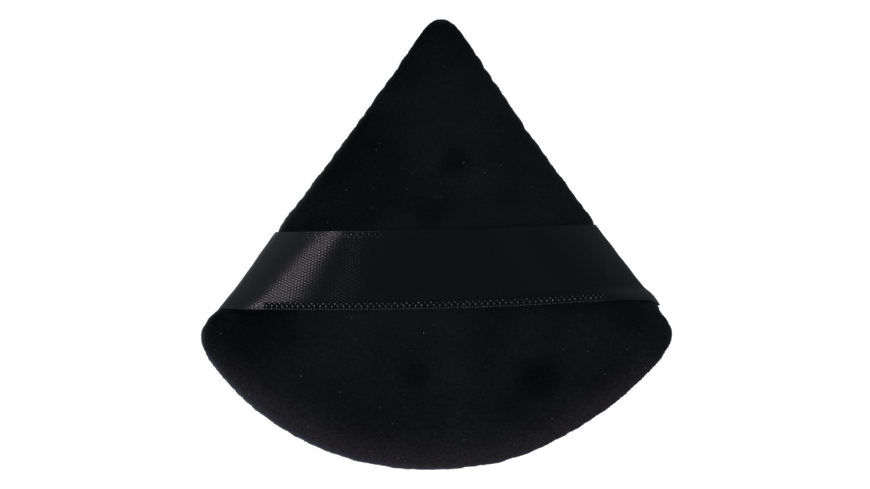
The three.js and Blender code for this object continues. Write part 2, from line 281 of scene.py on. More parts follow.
@dataclass
class SewnOutline:
    """Plan of the sewn edge: a round front, two rounded corners, and straight sides up to an apex."""

    width: float
    length: float
    apex_radius: float = 3.7 * MM
    corner_radius: float = 5.1 * MM
    corner_height: float = 22.8 * MM
    # Where the hand-sewn puff departs from the drafted plan; zones are shares of the length
    left_draw_in: float = 0.6 * MM
    left_skew: float = 1.5
    right_draw_in: float = 0.7 * MM
    draw_in_power: int = 4
    share_limit: float = 1.1
    upper_shift: float = 0.7 * MM
    lean_start: float = -8.0 * MM
    lean_slope: float = 0.078
    apex_lean: float = 0.25 * MM
    apex_zone: tuple[float, float] = (0.25, 0.45)
    front_bulge: float = 0.35 * MM
    front_bulge_width: float = 28.0 * MM
    front_zone: tuple[float, float] = (0.2, 0.45)
    steps: int = 120

    def __post_init__(self) -> None:
        """Works out the circles, the points of the edge and how far round it each one is."""
        corner_x = self.width / 2 - self.corner_radius
        rise = self.corner_height
        reach = corner_x**2 + rise**2 - self.corner_radius**2
        front_radius = reach / (2 * (rise - self.corner_radius))
        front = np.array([0.0, -self.length / 2 + front_radius])
        corner = np.array([corner_x, -self.length / 2 + rise])
        apex = np.array([0.0, self.length / 2 - self.apex_radius])
        fall = corner - apex
        turn = math.acos((self.apex_radius - self.corner_radius) / float(np.hypot(*fall)))
        self.side_angle = math.atan2(fall[1], fall[0]) + turn
        corner_turn = math.atan2(corner[1] - front[1], corner[0])
        half = np.concatenate(
            [
                self.arc(front, front_radius, -math.pi / 2, corner_turn),
                self.arc(corner, self.corner_radius, corner_turn, self.side_angle),
                self.arc(apex, self.apex_radius, self.side_angle, math.pi / 2),
            ]
        )
        side = np.linspace(half[2 * self.steps - 1], half[2 * self.steps], self.steps + 1)[:-1]
        half = np.concatenate([half[: 2 * self.steps], side[1:], half[2 * self.steps :]])
        half = half[np.r_[True, np.hypot(*np.diff(half, axis=0).T) > LEAST]]
        left = half[::-1][1:] * np.array([-1.0, 1.0])
        self.points = np.concatenate([half, left])
        self.centre = np.array([0.0, float(corner[1]) + self.corner_radius])
        spokes = self.points - self.centre
        self.angle = np.unwrap(np.arctan2(spokes[:, 1], spokes[:, 0]))
        self.reach = np.hypot(*spokes.T)
        self.distance = np.r_[0, np.cumsum(np.hypot(*np.diff(self.points, axis=0).T))]
        ends = (side[0], side[-1])
        self.side_start, self.side_end = (float(self.station(np.array([end]))[0][0]) for end in ends)

    def arc(self, centre: np.ndarray, radius: float, start: float, end: float) -> np.ndarray:
        """Points along a circle's arc, as rows of x, y, from one angle to another."""
        turn = np.linspace(start, end, self.steps)
        return centre + radius * np.stack([np.cos(turn), np.sin(turn)], axis=1)

    def station(self, plan: np.ndarray) -> tuple[np.ndarray, np.ndarray]:
        """Finds where points lie round the edge and how near it they are.

        Args:
            plan: Rows of x, y.

        Returns:
            Distance round the edge from the middle of the front, and the share of the way out to the edge.
        """
        spokes = plan - self.centre
        angle = np.arctan2(spokes[:, 1], spokes[:, 0])
        angle = np.mod(angle - self.angle[0], 2 * math.pi) + self.angle[0]
        distance = np.interp(angle, self.angle, self.distance)
        share = np.hypot(*spokes.T) / np.interp(angle, self.angle, self.reach)
        return distance, share

    def outward(self, distance: np.ndarray) -> np.ndarray:
        """Finds the directions straight out of the edge.

        Args:
            distance: Distances round the edge.

        Returns:
            Rows of x, y, each one long.
        """
        along = np.gradient(self.points, self.distance, axis=0)
        normal = np.stack([along[:, 1], -along[:, 0]], axis=1)
        normal /= np.hypot(*normal.T)[:, None]
        return np.stack([np.interp(distance, self.distance, normal[:, i]) for i in (0, 1)], axis=1)

    def straight_share(self, distance: np.ndarray) -> tuple[np.ndarray, np.ndarray]:
        """Finds how far up the straight sides points of the edge are.

        Args:
            distance: Distances round the edge.

        Returns:
            Shares of the way from the corner to the apex, on the right side and on the left one.
        """
        span = self.side_end - self.side_start
        right = np.clip((distance - self.side_start) / span, 0, 1)
        left = np.clip((self.distance[-1] - distance - self.side_start) / span, 0, 1)
        return right, left

    def side_x(self, y: float) -> float:
        """Half the width at a height on the straight sides."""
        half = self.points[: len(self.points) // 2 + 1]
        side = half[np.argmax(half[:, 0]) :]
        return float(np.interp(y, side[:, 1], side[:, 0]))

    def hand_sewn(self, plan: np.ndarray) -> np.ndarray:
        """Moves points of the drafted plan to where the hand-sewn puff has them.

        Args:
            plan: Rows of x, y on the drafted plan.

        Returns:
            Rows of x, y with the sides drawn in and the front leaning to the left.
        """
        distance, share = self.station(plan)
        right, left = self.straight_share(distance)
        pull = self.right_draw_in * np.sin(math.pi * right)
        pull += self.left_draw_in * np.sin(math.pi * left**self.left_skew)
        pull *= np.clip(share, 0, self.share_limit) ** self.draw_in_power
        sewn = plan - self.outward(distance) * pull[:, None]
        sewn[:, 0] += self.upper_shift - self.lean_slope * np.maximum(0, self.lean_start - plan[:, 1])
        sewn[:, 0] += self.apex_lean * smooth_step(plan[:, 1] / self.length, *self.apex_zone)
        bulge = np.sin(math.pi * np.clip(plan[:, 0] / self.front_bulge_width, 0, 1)) ** 2
        sewn[:, 1] -= self.front_bulge * bulge * smooth_step(-plan[:, 1] / self.length, *self.front_zone)
        return sewn


@dataclass
class RibbonLoop:
    """The satin ribbon, bowed over the back, with looped selvedges along both its edges."""

    outline: SewnOutline
    seam: float
    top: float
    width: float = 13.2 * MM
    thickness: float = 0.22 * MM
    middle_y: float = -4.4 * MM
    bend_start: float = -21.6 * MM
    bend_rate: float = 0.61
    bend_end: float = 28.0 * MM
    tail: float = 4.0 * MM
    tail_steps: int = 12
    edge_inset: float = 0.6 * MM
    turn_radius: float = 0.3 * MM
    turn_steps: int = 9
    first_guess: float = 30.0 * MM
    guesses: int = 6
    left_flank: Flank = Flank(
        slopes=(2.2, 1.3, 1.0, 0.77, 0.62, 0.49, 0.0),
        lower=(0.0, 0.8 * MM, 2.9 * MM, 5.3 * MM, 6.6 * MM, 11.6 * MM, 25.0 * MM),
        upper=(0.0, 1.2 * MM, 5.2 * MM, 7.8 * MM, 10.4 * MM, 11.5 * MM, 15.6 * MM),
    )
    right_flank: Flank = Flank(
        slopes=(1.0, 0.78, 0.57, 0.42, 0.0),
        lower=(0.0, 1.5 * MM, 7.9 * MM, 13.5 * MM, 27.0 * MM),
        upper=(0.0, 1.5 * MM, 7.5 * MM, 12.5 * MM, 24.0 * MM),
    )
    # Where the ends stand out of the seam, from these distances across the ribbon to its edge
    left_reach: float = 0.4 * MM
    left_reach_from: float = -2.0 * MM
    corner_reach: float = 1.2 * MM
    corner_reach_from: float = 4.2 * MM
    corner_drop: float = 0.9 * MM
    corner_drop_from: float = 4.5 * MM
    corner_start: float = 35.4 * MM
    corner_end_inset: float = 2.0 * MM
    edge_curls: tuple[float, float] = (0.25 * MM, 0.0)
    curl_power: float = 8.0
    curl_zone: tuple[float, float] = (3.0 * MM, 9.0 * MM)
    columns: int = 300
    rows: int = 44
    sharp_angle: float = 40.0
    selvedge: tuple[StitchRow, ...] = (
        StitchRow(0.12 * MM, 0.5 * MM, 0.0, 0.32 * MM, 0.26 * MM, 0.16 * MM),
        StitchRow(0.60 * MM, 1.0 * MM, 0.0, 0.36 * MM, 0.58 * MM, 0.22 * MM),
        StitchRow(1.02 * MM, 2.0 * MM, 0.25, 0.38 * MM, 0.40 * MM, 0.20 * MM),
        StitchRow(1.02 * MM, 2.0 * MM, 0.75, 0.30 * MM, 0.28 * MM, 0.16 * MM),
    )
    ground: float = 1.2 * MM
    ground_ends: tuple[float, float] = (-29.0 * MM, 27.6 * MM)
    selvedge_ends: tuple[float, float] = (-31.3 * MM, 28.8 * MM)
    selvedge_rise: float = 3.0 * MM
    end_sink: float = 0.95
    upper_start: float = -23.0 * MM
    upper_sinks: tuple[float, float] = (0.4, 0.92)
    upper_sunk: tuple[float, float] = (-15.0 * MM, -6.0 * MM)
    along_step: float = 1e-3
    beside_step: float = 0.2 * MM
    # The ribbon stays put up to this height over the seam when its middle lifts
    held_height: float = 3.5 * MM

    def __post_init__(self) -> None:
        """Shapes every long line of the ribbon once."""
        self.across = np.linspace(-self.width / 2, self.width / 2, self.rows + 1)
        lines = [self.line(across) for across in self.across]
        self.places = np.stack([place for place, _, _ in lines], axis=1)
        self.lengths = np.stack([length for _, length, _ in lines], axis=1)
        self.roofs = [roof for _, _, roof in lines]

    def swerve(self, x: np.ndarray | float) -> np.ndarray | float:
        """How far the ribbon has bent towards the apex at a place along it."""
        bent = np.clip(x, self.bend_start, self.bend_end) - self.bend_start
        return self.bend_rate * bent**2

    def across_share(self, across: np.ndarray | float) -> np.ndarray | float:
        """The way across the ribbon, 0 at its lower edge and 1 at its upper one."""
        return across / self.width + 0.5

    def edge_x(self, across: float, side: float) -> float:
        """Closes in on the place where one long line of the ribbon meets the drafted edge.

        Args:
            across: The line's distance from the ribbon's middle line.
            side: 1 for the right edge, -1 for the left one.

        Returns:
            The place's distance from the puff's middle.
        """
        edge = self.first_guess
        for _ in range(self.guesses):
            edge = self.outline.side_x(self.middle_y + across + self.swerve(side * edge))
        return edge

    def half_section(self, flank: Flank, across: float) -> tuple[np.ndarray, np.ndarray]:
        """Half of one long line's section.

        Args:
            flank: The side of the bow.
            across: The line's distance from the ribbon's middle line.

        Returns:
            Rows of the distance inside the sewn edge and the height over the seam: first the tail and its
            turn, which are measured square to the edge, then the bow, which is measured along the ribbon.
        """
        steps = self.tail_steps
        tail = np.stack([np.linspace(self.tail, self.edge_inset, steps), np.zeros(steps)], axis=1)
        turn = np.linspace(-math.pi / 2, 0, self.turn_steps)[1:]
        inside = self.edge_inset - self.turn_radius * np.cos(turn)
        bend = np.stack([inside, self.turn_radius * (1 + np.sin(turn))], axis=1)
        height = self.top - self.seam - self.thickness / 2 - self.turn_radius
        bow = flank.section(self.across_share(across), height) + (0, self.turn_radius)
        return np.concatenate([tail, bend]), bow

    def line(self, across: float) -> tuple[np.ndarray, np.ndarray, np.ndarray]:
        """One long line of the ribbon.

        Args:
            across: Its distance from the ribbon's middle line.

        Returns:
            Places evenly along the line, how far along the ribbon from its middle each one is, and rows of
            the drafted x and the height over the seam along the bow.
        """
        border = self.width / 2
        lean = 1 / math.cos(self.outline.side_angle)
        halves = []
        for side, flank in ((-1.0, self.left_flank), (1.0, self.right_flank)):
            tail, bow = self.half_section(flank, across)
            edge = self.edge_x(across, side)
            if side > 0:
                edge += self.corner_reach * smooth_step(-across, self.corner_reach_from, border)
            else:
                edge += self.left_reach * smooth_step(across, self.left_reach_from, border)
            start = edge - lean * (self.edge_inset - self.turn_radius)
            x = side * np.concatenate([edge - lean * tail[:, 0], start - bow[:, 0], [0.0]])
            height = np.concatenate([tail[:, 1], bow[:, 1], bow[-1:, 1]])
            halves.append(np.column_stack([x, height]))
        profile = np.concatenate([halves[0], halves[1][::-1][1:]])
        run = np.r_[0, np.cumsum(np.hypot(*np.diff(profile, axis=0).T))]
        middle = run[len(halves[0]) - 1]
        stops = np.linspace(0, run[-1], self.columns + 1)
        x, height = (np.interp(stops, run, profile[:, i]) for i in (0, 1))
        corner_end = self.outline.width / 2 - self.corner_end_inset
        drop = self.corner_drop * smooth_step(-across, self.corner_drop_from, border)
        y = self.middle_y + across + self.swerve(x) - drop * smooth_step(x, self.corner_start, corner_end)
        plan = self.outline.hand_sewn(np.stack([x, y], axis=1))
        curl = self.edge_curls[int(across > 0)] * abs(2 * across / self.width) ** self.curl_power
        height = height - curl * smooth_step(height, *self.curl_zone)
        bowed = slice(int(np.argmin(x)), int(np.argmax(x)) + 1)
        roof = np.column_stack([x, height])[bowed]
        return np.column_stack([plan, self.seam + height]), stops - middle, roof

    def over(self, plan: np.ndarray) -> tuple[np.ndarray, np.ndarray]:
        """Finds the ribbon over points of the drafted plan.

        Args:
            plan: Rows of x, y.

        Returns:
            The ribbon's height over the seam, and how far outside its two edges the points are, which is
            less than nothing under it.
        """
        across = plan[:, 1] - self.middle_y - self.swerve(plan[:, 0])
        row = np.clip(self.across_share(across) * self.rows, 0, self.rows - CELL_END)
        height = np.zeros(len(plan))
        for j in range(self.rows):
            here = row.astype(int) == j
            near, far = (np.interp(plan[here, 0], *self.roofs[i].T) for i in (j, j + 1))
            height[here] = near + (far - near) * (row[here] - j)
        return height, np.abs(across) - self.width / 2

    def surface(self, along: np.ndarray, across: float) -> np.ndarray:
        """Finds points of the ribbon's middle surface.

        Args:
            along: Shares of the way from the left tail to the right one.
            across: Their distance from the ribbon's middle line.

        Returns:
            Rows of x, y, z.
        """
        column = np.clip(along * self.columns, 0, self.columns - CELL_END)
        row = float(np.clip(self.across_share(across) * self.rows, 0, self.rows - CELL_END))
        i, j = column.astype(int), int(row)
        u, v = (column - i)[:, None], row - j
        near = self.places[i, j] * (1 - u) + self.places[i + 1, j] * u
        far = self.places[i, j + 1] * (1 - u) + self.places[i + 1, j + 1] * u
        return near * (1 - v) + far * v

    def build_strip(self, satin: bpy.types.Material, cut_edge: bpy.types.Material) -> bpy.types.Object:
        """Bows a flat woven strip over the back and gives it its thickness.

        Args:
            satin: What its two faces show.
            cut_edge: What its edges show, and the plain weave under the lower selvedge.

        Returns:
            The ribbon, with a UV map in metres along and across the weave.
        """
        form = bmesh.new()
        uv = form.loops.layers.uv.new("weave")
        bmesh.ops.create_grid(form, x_segments=self.columns, y_segments=self.rows, size=1, calc_uvs=False)
        for face in form.faces:
            for loop in face.loops:
                i, j = self.grid_place(loop.vert.co)
                loop[uv].uv = (self.lengths[i, j], self.across[j])
        for vert in form.verts:
            vert.co = Vector(self.places[self.grid_place(vert.co)])
        bmesh.ops.recalc_face_normals(form, faces=form.faces)
        if sum(face.normal.z for face in form.faces) < 0:
            bmesh.ops.reverse_faces(form, faces=form.faces)
        strip = new_piece("satin_ribbon_strip", form)
        for material in (satin, cut_edge):
            strip.data.materials.append(material)
        for face in strip.data.polygons:
            face.material_index = int(self.is_ground(face))
        wall = strip.modifiers.new("thickness", "SOLIDIFY")
        wall.thickness = self.thickness
        wall.offset = 0
        wall.material_offset_rim = 1
        settle(strip)
        strip.data.shade_smooth()
        strip.data.set_sharp_from_angle(angle=math.radians(self.sharp_angle))
        return strip

    def is_ground(self, face: bpy.types.MeshPolygon) -> bool:
        """Tells whether a face of the flat strip is in the plain weave that binds the lower edge."""
        row = face.index // self.columns
        bound = (row + 1) * self.width / self.rows < self.ground + LEAST
        return bound and self.ground_ends[0] < face.center.x < self.ground_ends[1]

    def grid_place(self, corner: Vector) -> tuple[int, int]:
        """Column and row of a corner of the flat grid, which spans -1 to 1."""
        return round((corner.x + 1) / 2 * self.columns), round((corner.y + 1) / 2 * self.rows)

    def build_selvedge(self, edge: Edge) -> bpy.types.Object:
        """Sets the rows of thread floats that bind one edge of the ribbon.

        Args:
            edge: The edge that they bind.

        Returns:
            The floats as one piece.
        """
        whole = bmesh.new()
        first = self.upper_start if edge is Edge.UPPER else self.selvedge_ends[0]
        low, high = self.upper_sinks if edge is Edge.UPPER else (0.0, 0.0)
        for row in self.selvedge:
            across = edge.side * (self.width / 2 - row.inset)
            left, right = (float(np.interp(across, self.across, self.lengths[end])) for end in (0, -1))
            count = int(self.outline.width / 2 / row.pitch)
            stops = (np.arange(-count, count) + row.shift) * row.pitch
            stops = (stops - left) / (right - left)
            place = self.surface(stops, across)
            room = np.minimum(place[:, 0] - first, self.selvedge_ends[1] - place[:, 0])
            stops, place, room = stops[room > 0], place[room > 0], room[room > 0]
            ahead = self.surface(stops + self.along_step, across) - place
            beside = self.surface(stops, across - edge.side * self.beside_step) - place
            sinks = low + (high - low) * smooth_step(place[:, 0], *self.upper_sunk)
            sinks = self.end_sink + (sinks - self.end_sink) * smooth_step(room, 0, self.selvedge_rise)
            floats = bmesh.new()
            for point, along, inward, sink in zip(place, ahead, beside, sinks):
                self.add_float(floats, row, float(sink), Vector(point), Vector(along), Vector(inward))
            line = close_mesh("selvedge_row", floats)
            whole.from_mesh(line)
            bpy.data.meshes.remove(line)
        selvedge = new_piece(edge.title, whole)
        selvedge.data.shade_smooth()
        return selvedge

    def add_float(
        self,
        form: bmesh.types.BMesh,
        row: StitchRow,
        sink: float,
        place: Vector,
        along: Vector,
        inward: Vector,
    ) -> None:
        """Adds one thread float to a selvedge.

        Args:
            form: The mesh of the floats.
            row: The row that the float is in.
            sink: Share of its half height that it lies lower than half sunk.
            place: Its middle, on the ribbon's middle surface.
            along: The way that the ribbon runs there.
            inward: The way to the ribbon's middle line.
        """
        along = along.normalized()
        normal = along.cross(inward).normalized()
        normal = normal if normal.z > 0 else -normal
        beside = normal.cross(along)
        middle = place + normal * (self.thickness - sink * row.height) / 2
        turned = Matrix((along * row.along, beside * row.across, normal * row.height)).transposed()
        matrix = Matrix.Translation(middle) @ turned.to_4x4()
        bmesh.ops.create_uvsphere(form, u_segments=6, v_segments=4, radius=0.5, matrix=matrix)

    def exits(self) -> list[tuple[float, float]]:
        """Finds the stretches of the sewn edge that the ribbon covers.

        Returns:
            Where each one starts and ends round the edge, right one first.
        """
        stretches = []
        for side in (1.0, -1.0):
            ends = []
            for across in (-self.width / 2, self.width / 2):
                x = side * self.edge_x(across, side)
                place = np.array([[x, self.middle_y + across + self.swerve(x)]])
                ends.append(float(self.outline.station(place)[0][0]))
            stretches.append((min(ends), max(ends)))
        return stretches


@dataclass
class PadCushion:
    """The padded puff: two velour panels, swollen by the sponge and drawn together along the seam."""

    outline: SewnOutline
    ribbon: RibbonLoop
    seam: float
    top: float
    voxel: float = 1.4 * MM
    # The cloth is swollen at ten times its size, where the solver is steady
    sim_scale: float = 10.0
    pressure: float = 4.0
    frames: int = 20
    swell_limit: float = 1.2 * MM
    held_band: float = 2.2 * MM
    held_share: float = 0.93
    smoothing: int = 4
    finer_levels: int = 2
    edge_zone: tuple[float, float] = (0.86, 0.99)
    groove_depth: float = 0.5 * MM
    groove_half: float = 0.75 * MM
    seam_gap: float = 0.1 * MM
    stitch_pitch: float = 2.5 * MM
    pitch_stray: float = 0.3
    side_pucker: float = 0.22 * MM
    front_pucker: float = 0.08 * MM
    pucker_shares: tuple[float, float] = (0.3, 1.3)
    pucker_half: float = 0.65 * MM
    pucker_height: float = 1.8 * MM
    # The right end of the ribbon, at the corner, presses in more sharply below than the left one
    ribbon_dents: tuple[float, float] = (0.85 * MM, 0.75 * MM)
    dent_starts: tuple[float, float] = (0.8 * MM, 2.5 * MM)
    dent_fade: float = 2.5 * MM
    dent_zone: tuple[float, float] = (2.6 * MM, 4.6 * MM)
    dent_below: float = 2.0 * MM
    notch_depth: float = 0.43 * MM
    notch_below: float = 2.2 * MM
    notch_half: float = 1.1 * MM
    ribbon_room: float = 0.45 * MM
    press_least: float = 0.6
    press_fade: tuple[float, float] = (0.2 * MM, 2.4 * MM)
    least_height: float = 0.02 * MM
    # Painted light beside the ribbon, which lifts the shade that it casts there: its width, and the slanted
    # band across the ribbon's middle where it shows
    painted_fill_width: float = 4.5 * MM
    fill_centre_x: float = -4.5 * MM
    fill_lean: float = 0.6
    fill_reach: tuple[float, float] = (8.0 * MM, 22.0 * MM)
    wall: float = 1.2 * MM
    pile_height: float = 0.2 * MM
    pile_sink: float = 0.6
    fuzz: float = 0.08 * MM
    pile_share: float = 0.32
    nap_lean: float = 0.04 * MM
    pile_spread: float = 0.045 * MM
    seed: int = 11

    def build(self, nodes: dict[str, bpy.types.Object]) -> dict[Panel, bpy.types.Object]:
        """Makes both panels.

        Args:
            nodes: The frame's nodes by name.

        Returns:
            The velour piece of each panel.
        """
        form = self.filled_form(nodes)
        self.swell(form)
        self.round_off(form)
        self.sew(form)
        panels = {panel: self.cut_panel(form, panel) for panel in Panel}
        bpy.data.objects.remove(form)
        return panels

    def filled_form(self, nodes: dict[str, bpy.types.Object]) -> bpy.types.Object:
        """Closes copies of the two panels into one filled pad of even squares.

        Args:
            nodes: The frame's nodes by name.

        Returns:
            The pad.
        """
        form = bmesh.new()
        for panel in Panel:
            form.from_mesh(nodes[panel.title].data)
        bmesh.ops.remove_doubles(form, verts=form.verts, dist=WELD)
        hull = bmesh.ops.convex_hull(form, input=form.verts)
        spare = hull["geom_interior"] + hull["geom_unused"]
        spare = [item for item in spare if isinstance(item, bmesh.types.BMVert)]
        bmesh.ops.delete(form, geom=spare, context="VERTS")
        shell = set(hull["geom"])
        inner = [face for face in form.faces if face not in shell]
        bmesh.ops.delete(form, geom=inner, context="FACES_ONLY")
        pad = new_piece("pad_form", form)
        squares = pad.modifiers.new("squares", "REMESH")
        squares.mode = "VOXEL"
        squares.voxel_size = self.voxel
        settle(pad)
        return pad

    def swell(self, form: bpy.types.Object) -> None:
        """Swells the pad with cloth under pressure while its seam is held.

        Args:
            form: The filled pad.
        """
        scene = bpy.context.scene
        rest = points_of(form.data)
        move_points(form.data, rest * self.sim_scale)
        held = np.flatnonzero(np.abs(rest[:, 2] - self.seam) < self.held_band)
        rim = self.outline.station(rest[:, :2])[1] > self.held_share
        group = form.vertex_groups.new(name="seam")
        group.add([int(i) for i in held if rim[i]], 1.0, "REPLACE")
        cloth = form.modifiers.new("velour", "CLOTH")
        cloth.settings.use_pressure = True
        cloth.settings.uniform_pressure_force = self.pressure
        cloth.settings.vertex_group_mass = group.name
        cloth.settings.effector_weights.gravity = 0
        cloth.point_cache.frame_end = self.frames
        for frame in range(1, self.frames + 1):
            scene.frame_set(frame)
        settle(form)
        scene.frame_set(1)
        form.vertex_groups.clear()
        move = points_of(form.data) / self.sim_scale - rest
        far = np.linalg.norm(move, axis=1)
        LOG.info("pad swells by %.2f mm at most, %.2f on average", far.max() / MM, far.mean() / MM)
        move *= (np.minimum(far, self.swell_limit) / np.maximum(far, LEAST))[:, None]
        move_points(form.data, rest + move)

    def round_off(self, form: bpy.types.Object) -> None:
        """Takes the steps of the squares out of the pad and makes them finer.

        Args:
            form: The swollen pad.
        """
        pad = bmesh.new()
        pad.from_mesh(form.data)
        every_way = {"use_axis_x": True, "use_axis_y": True, "use_axis_z": True}
        for _ in range(self.smoothing):
            bmesh.ops.smooth_vert(pad, verts=pad.verts, factor=0.5, **every_way)
        pad.to_mesh(form.data)
        pad.free()
        finer = form.modifiers.new("finer", "SUBSURF")
        finer.levels = self.finer_levels
        finer.render_levels = self.finer_levels
        settle(form)

    def puckers(self, distance: np.ndarray) -> np.ndarray:
        """Works out how deep the seam's stitches draw the velour in.

        Args:
            distance: Distances round the edge.

        Returns:
            The depth at each one, deepest along the straight sides.
        """
        chance = np.random.default_rng(self.seed)
        length = float(self.outline.distance[-1])
        count = int(length / self.stitch_pitch)
        strays = chance.uniform(-self.pitch_stray, self.pitch_stray, count)
        marks = (np.arange(count) + strays) * length / count
        right, left = self.outline.straight_share(marks)
        straight = np.maximum(np.sin(math.pi * right), np.sin(math.pi * left))
        depth = self.front_pucker + (self.side_pucker - self.front_pucker) * np.sqrt(straight)
        depth = depth * chance.uniform(*self.pucker_shares, count)
        pull = np.zeros(len(distance))
        for mark, deep in zip(marks, depth):
            pull += deep * np.exp(-(((distance - mark) / self.pucker_half) ** 2))
        return pull

    def dents(self, distance: np.ndarray, rise: np.ndarray) -> np.ndarray:
        """Works out how deep the ribbon's two ends press into the edge.

        Args:
            distance: Distances round the edge.
            rise: Heights over the seam.

        Returns:
            The depth at each place, with the notch just below the right end.
        """
        above = 1 - smooth_step(rise, *self.dent_zone)
        pressed = np.where(rise > 0, above, np.exp(-((rise / self.dent_below) ** 2)))
        exits = self.ribbon.exits()
        notch = (distance - exits[0][0] + self.notch_below) / self.notch_half
        pull = self.notch_depth * np.exp(-(notch**2))
        for (start, end), dent, fade in zip(exits, self.ribbon_dents, self.dent_starts):
            covered = smooth_step(distance, start - fade, start + fade)
            covered *= 1 - smooth_step(distance, end - self.dent_fade, end + self.dent_fade)
            pull += dent * covered
        return pull * pressed

    def sew(self, form: bpy.types.Object) -> None:
        """Fits the pad to its size, then draws the seam, its puckers and the ribbon's dents into it.

        Args:
            form: The rounded pad.
        """
        points = points_of(form.data)
        half = np.array([self.outline.width, self.outline.length]) / 2
        self.fit_plan(points, half)
        crown = self.top - self.pile_height * self.pile_sink - self.seam
        points[:, 2] = self.seam + (points[:, 2] - self.seam) * crown / (points[:, 2].max() - self.seam)
        distance, share = self.outline.station(points[:, :2])
        rise = points[:, 2] - self.seam
        pull = self.groove_depth * np.exp(-((rise / self.groove_half) ** 2))
        pull += self.puckers(distance) * np.exp(-((rise / self.pucker_height) ** 2))
        pull += self.dents(distance, rise)
        pull *= smooth_step(share, *self.edge_zone)
        points[:, :2] -= self.outline.outward(distance) * pull[:, None]
        roof, outside = self.ribbon.over(points[:, :2])
        # Painted light beside the ribbon's upper edge, on the back panel only
        painted_fill_light = np.where(rise > 0, self.painted_fill_light(points, outside), 0)
        lid = np.maximum(roof - self.ribbon_room, self.press_least * rise)
        points[:, 2] -= np.maximum(rise - lid, 0) * (1 - smooth_step(outside, *self.press_fade))
        points[:, :2] = self.outline.hand_sewn(points[:, :2])
        self.fit_plan(points, half + self.fuzz)
        points[:, 2] = np.maximum(points[:, 2], self.least_height)
        move_points(form.data, points)
        inside = (1 - share) * np.interp(distance, self.outline.distance, self.outline.reach)
        for name, values in (("edge_distance", np.maximum(inside, 0)), ("painted_fill_light", painted_fill_light)):
            mark = form.data.attributes.new(name, "FLOAT", "POINT")
            mark.data.foreach_set("value", values.astype(np.float32))

    def painted_fill_light(self, points: np.ndarray, outside: np.ndarray) -> np.ndarray:
        """Works out the painted light beside the ribbon, which lifts the shade that the ribbon casts there:
        strongest at its edge, and fading out of a slanted band across its middle.

        Args:
            points: Rows of x, y, z.
            outside: How far outside the ribbon's edges each one is.

        Returns:
            Shares from 0, no painted light, to 1.
        """
        slant = self.fill_lean * (points[:, 1] - self.ribbon.middle_y)
        entry = np.abs(points[:, 0] - self.fill_centre_x - slant)
        near = np.clip(1 - outside / self.painted_fill_width, 0, 1)
        return near * (1 - smooth_step(entry, *self.fill_reach))

    def fit_plan(self, points: np.ndarray, half: np.ndarray) -> None:
        """Scales points in plan, where they are, to half a width and half a length about the middle."""
        low, high = points[:, :2].min(axis=0), points[:, :2].max(axis=0)
        points[:, :2] = (points[:, :2] - (low + high) / 2) * (2 * half / (high - low))

    def cut_panel(self, form: bpy.types.Object, panel: Panel) -> bpy.types.Object:
        """Cuts one panel from the pad at the seam, and gives it its thickness and its pile.

        Args:
            form: The sewn pad.
            panel: The panel to cut.

        Returns:
            The velour piece.
        """
        half = bmesh.new()
        half.from_mesh(form.data)
        bmesh.ops.bisect_plane(
            half,
            geom=half.verts[:] + half.edges[:] + half.faces[:],
            dist=WELD,
            plane_co=(0, 0, self.seam + panel.side * self.seam_gap),
            plane_no=(0, 0, panel.side),
            clear_inner=True,
        )
        piece = new_piece(f"{panel.title}_velour", half)
        outer = len(piece.data.polygons)
        wall = piece.modifiers.new("wall", "SOLIDIFY")
        wall.thickness = self.wall
        wall.offset = -1
        settle(piece)
        self.raise_pile(piece, outer, panel)
        piece.data.shade_smooth()
        return piece

    def raise_pile(self, piece: bpy.types.Object, outer: int, panel: Panel) -> None:
        """Raises a tuft of pile on each outer face, with its tip leaning with the nap.

        Args:
            piece: The panel.
            outer: How many of its first faces are outside.
            panel: Which panel it is.
        """
        chance = np.random.default_rng(self.seed + int(panel.side))
        velour = bmesh.new()
        velour.from_mesh(piece.data)
        velour.faces.ensure_lookup_table()
        tufts = bmesh.ops.poke(
            velour, faces=velour.faces[:outer], offset=self.pile_share, use_relative_offset=True
        )["verts"]
        strays = chance.normal(0, self.pile_spread, (len(tufts), 3))
        strays[:, 1] -= self.nap_lean
        for tip, stray in zip(tufts, strays):
            tip.co += Vector(stray)
            tip.co.z = max(tip.co.z, 0)
        velour.to_mesh(piece.data)
        velour.free()


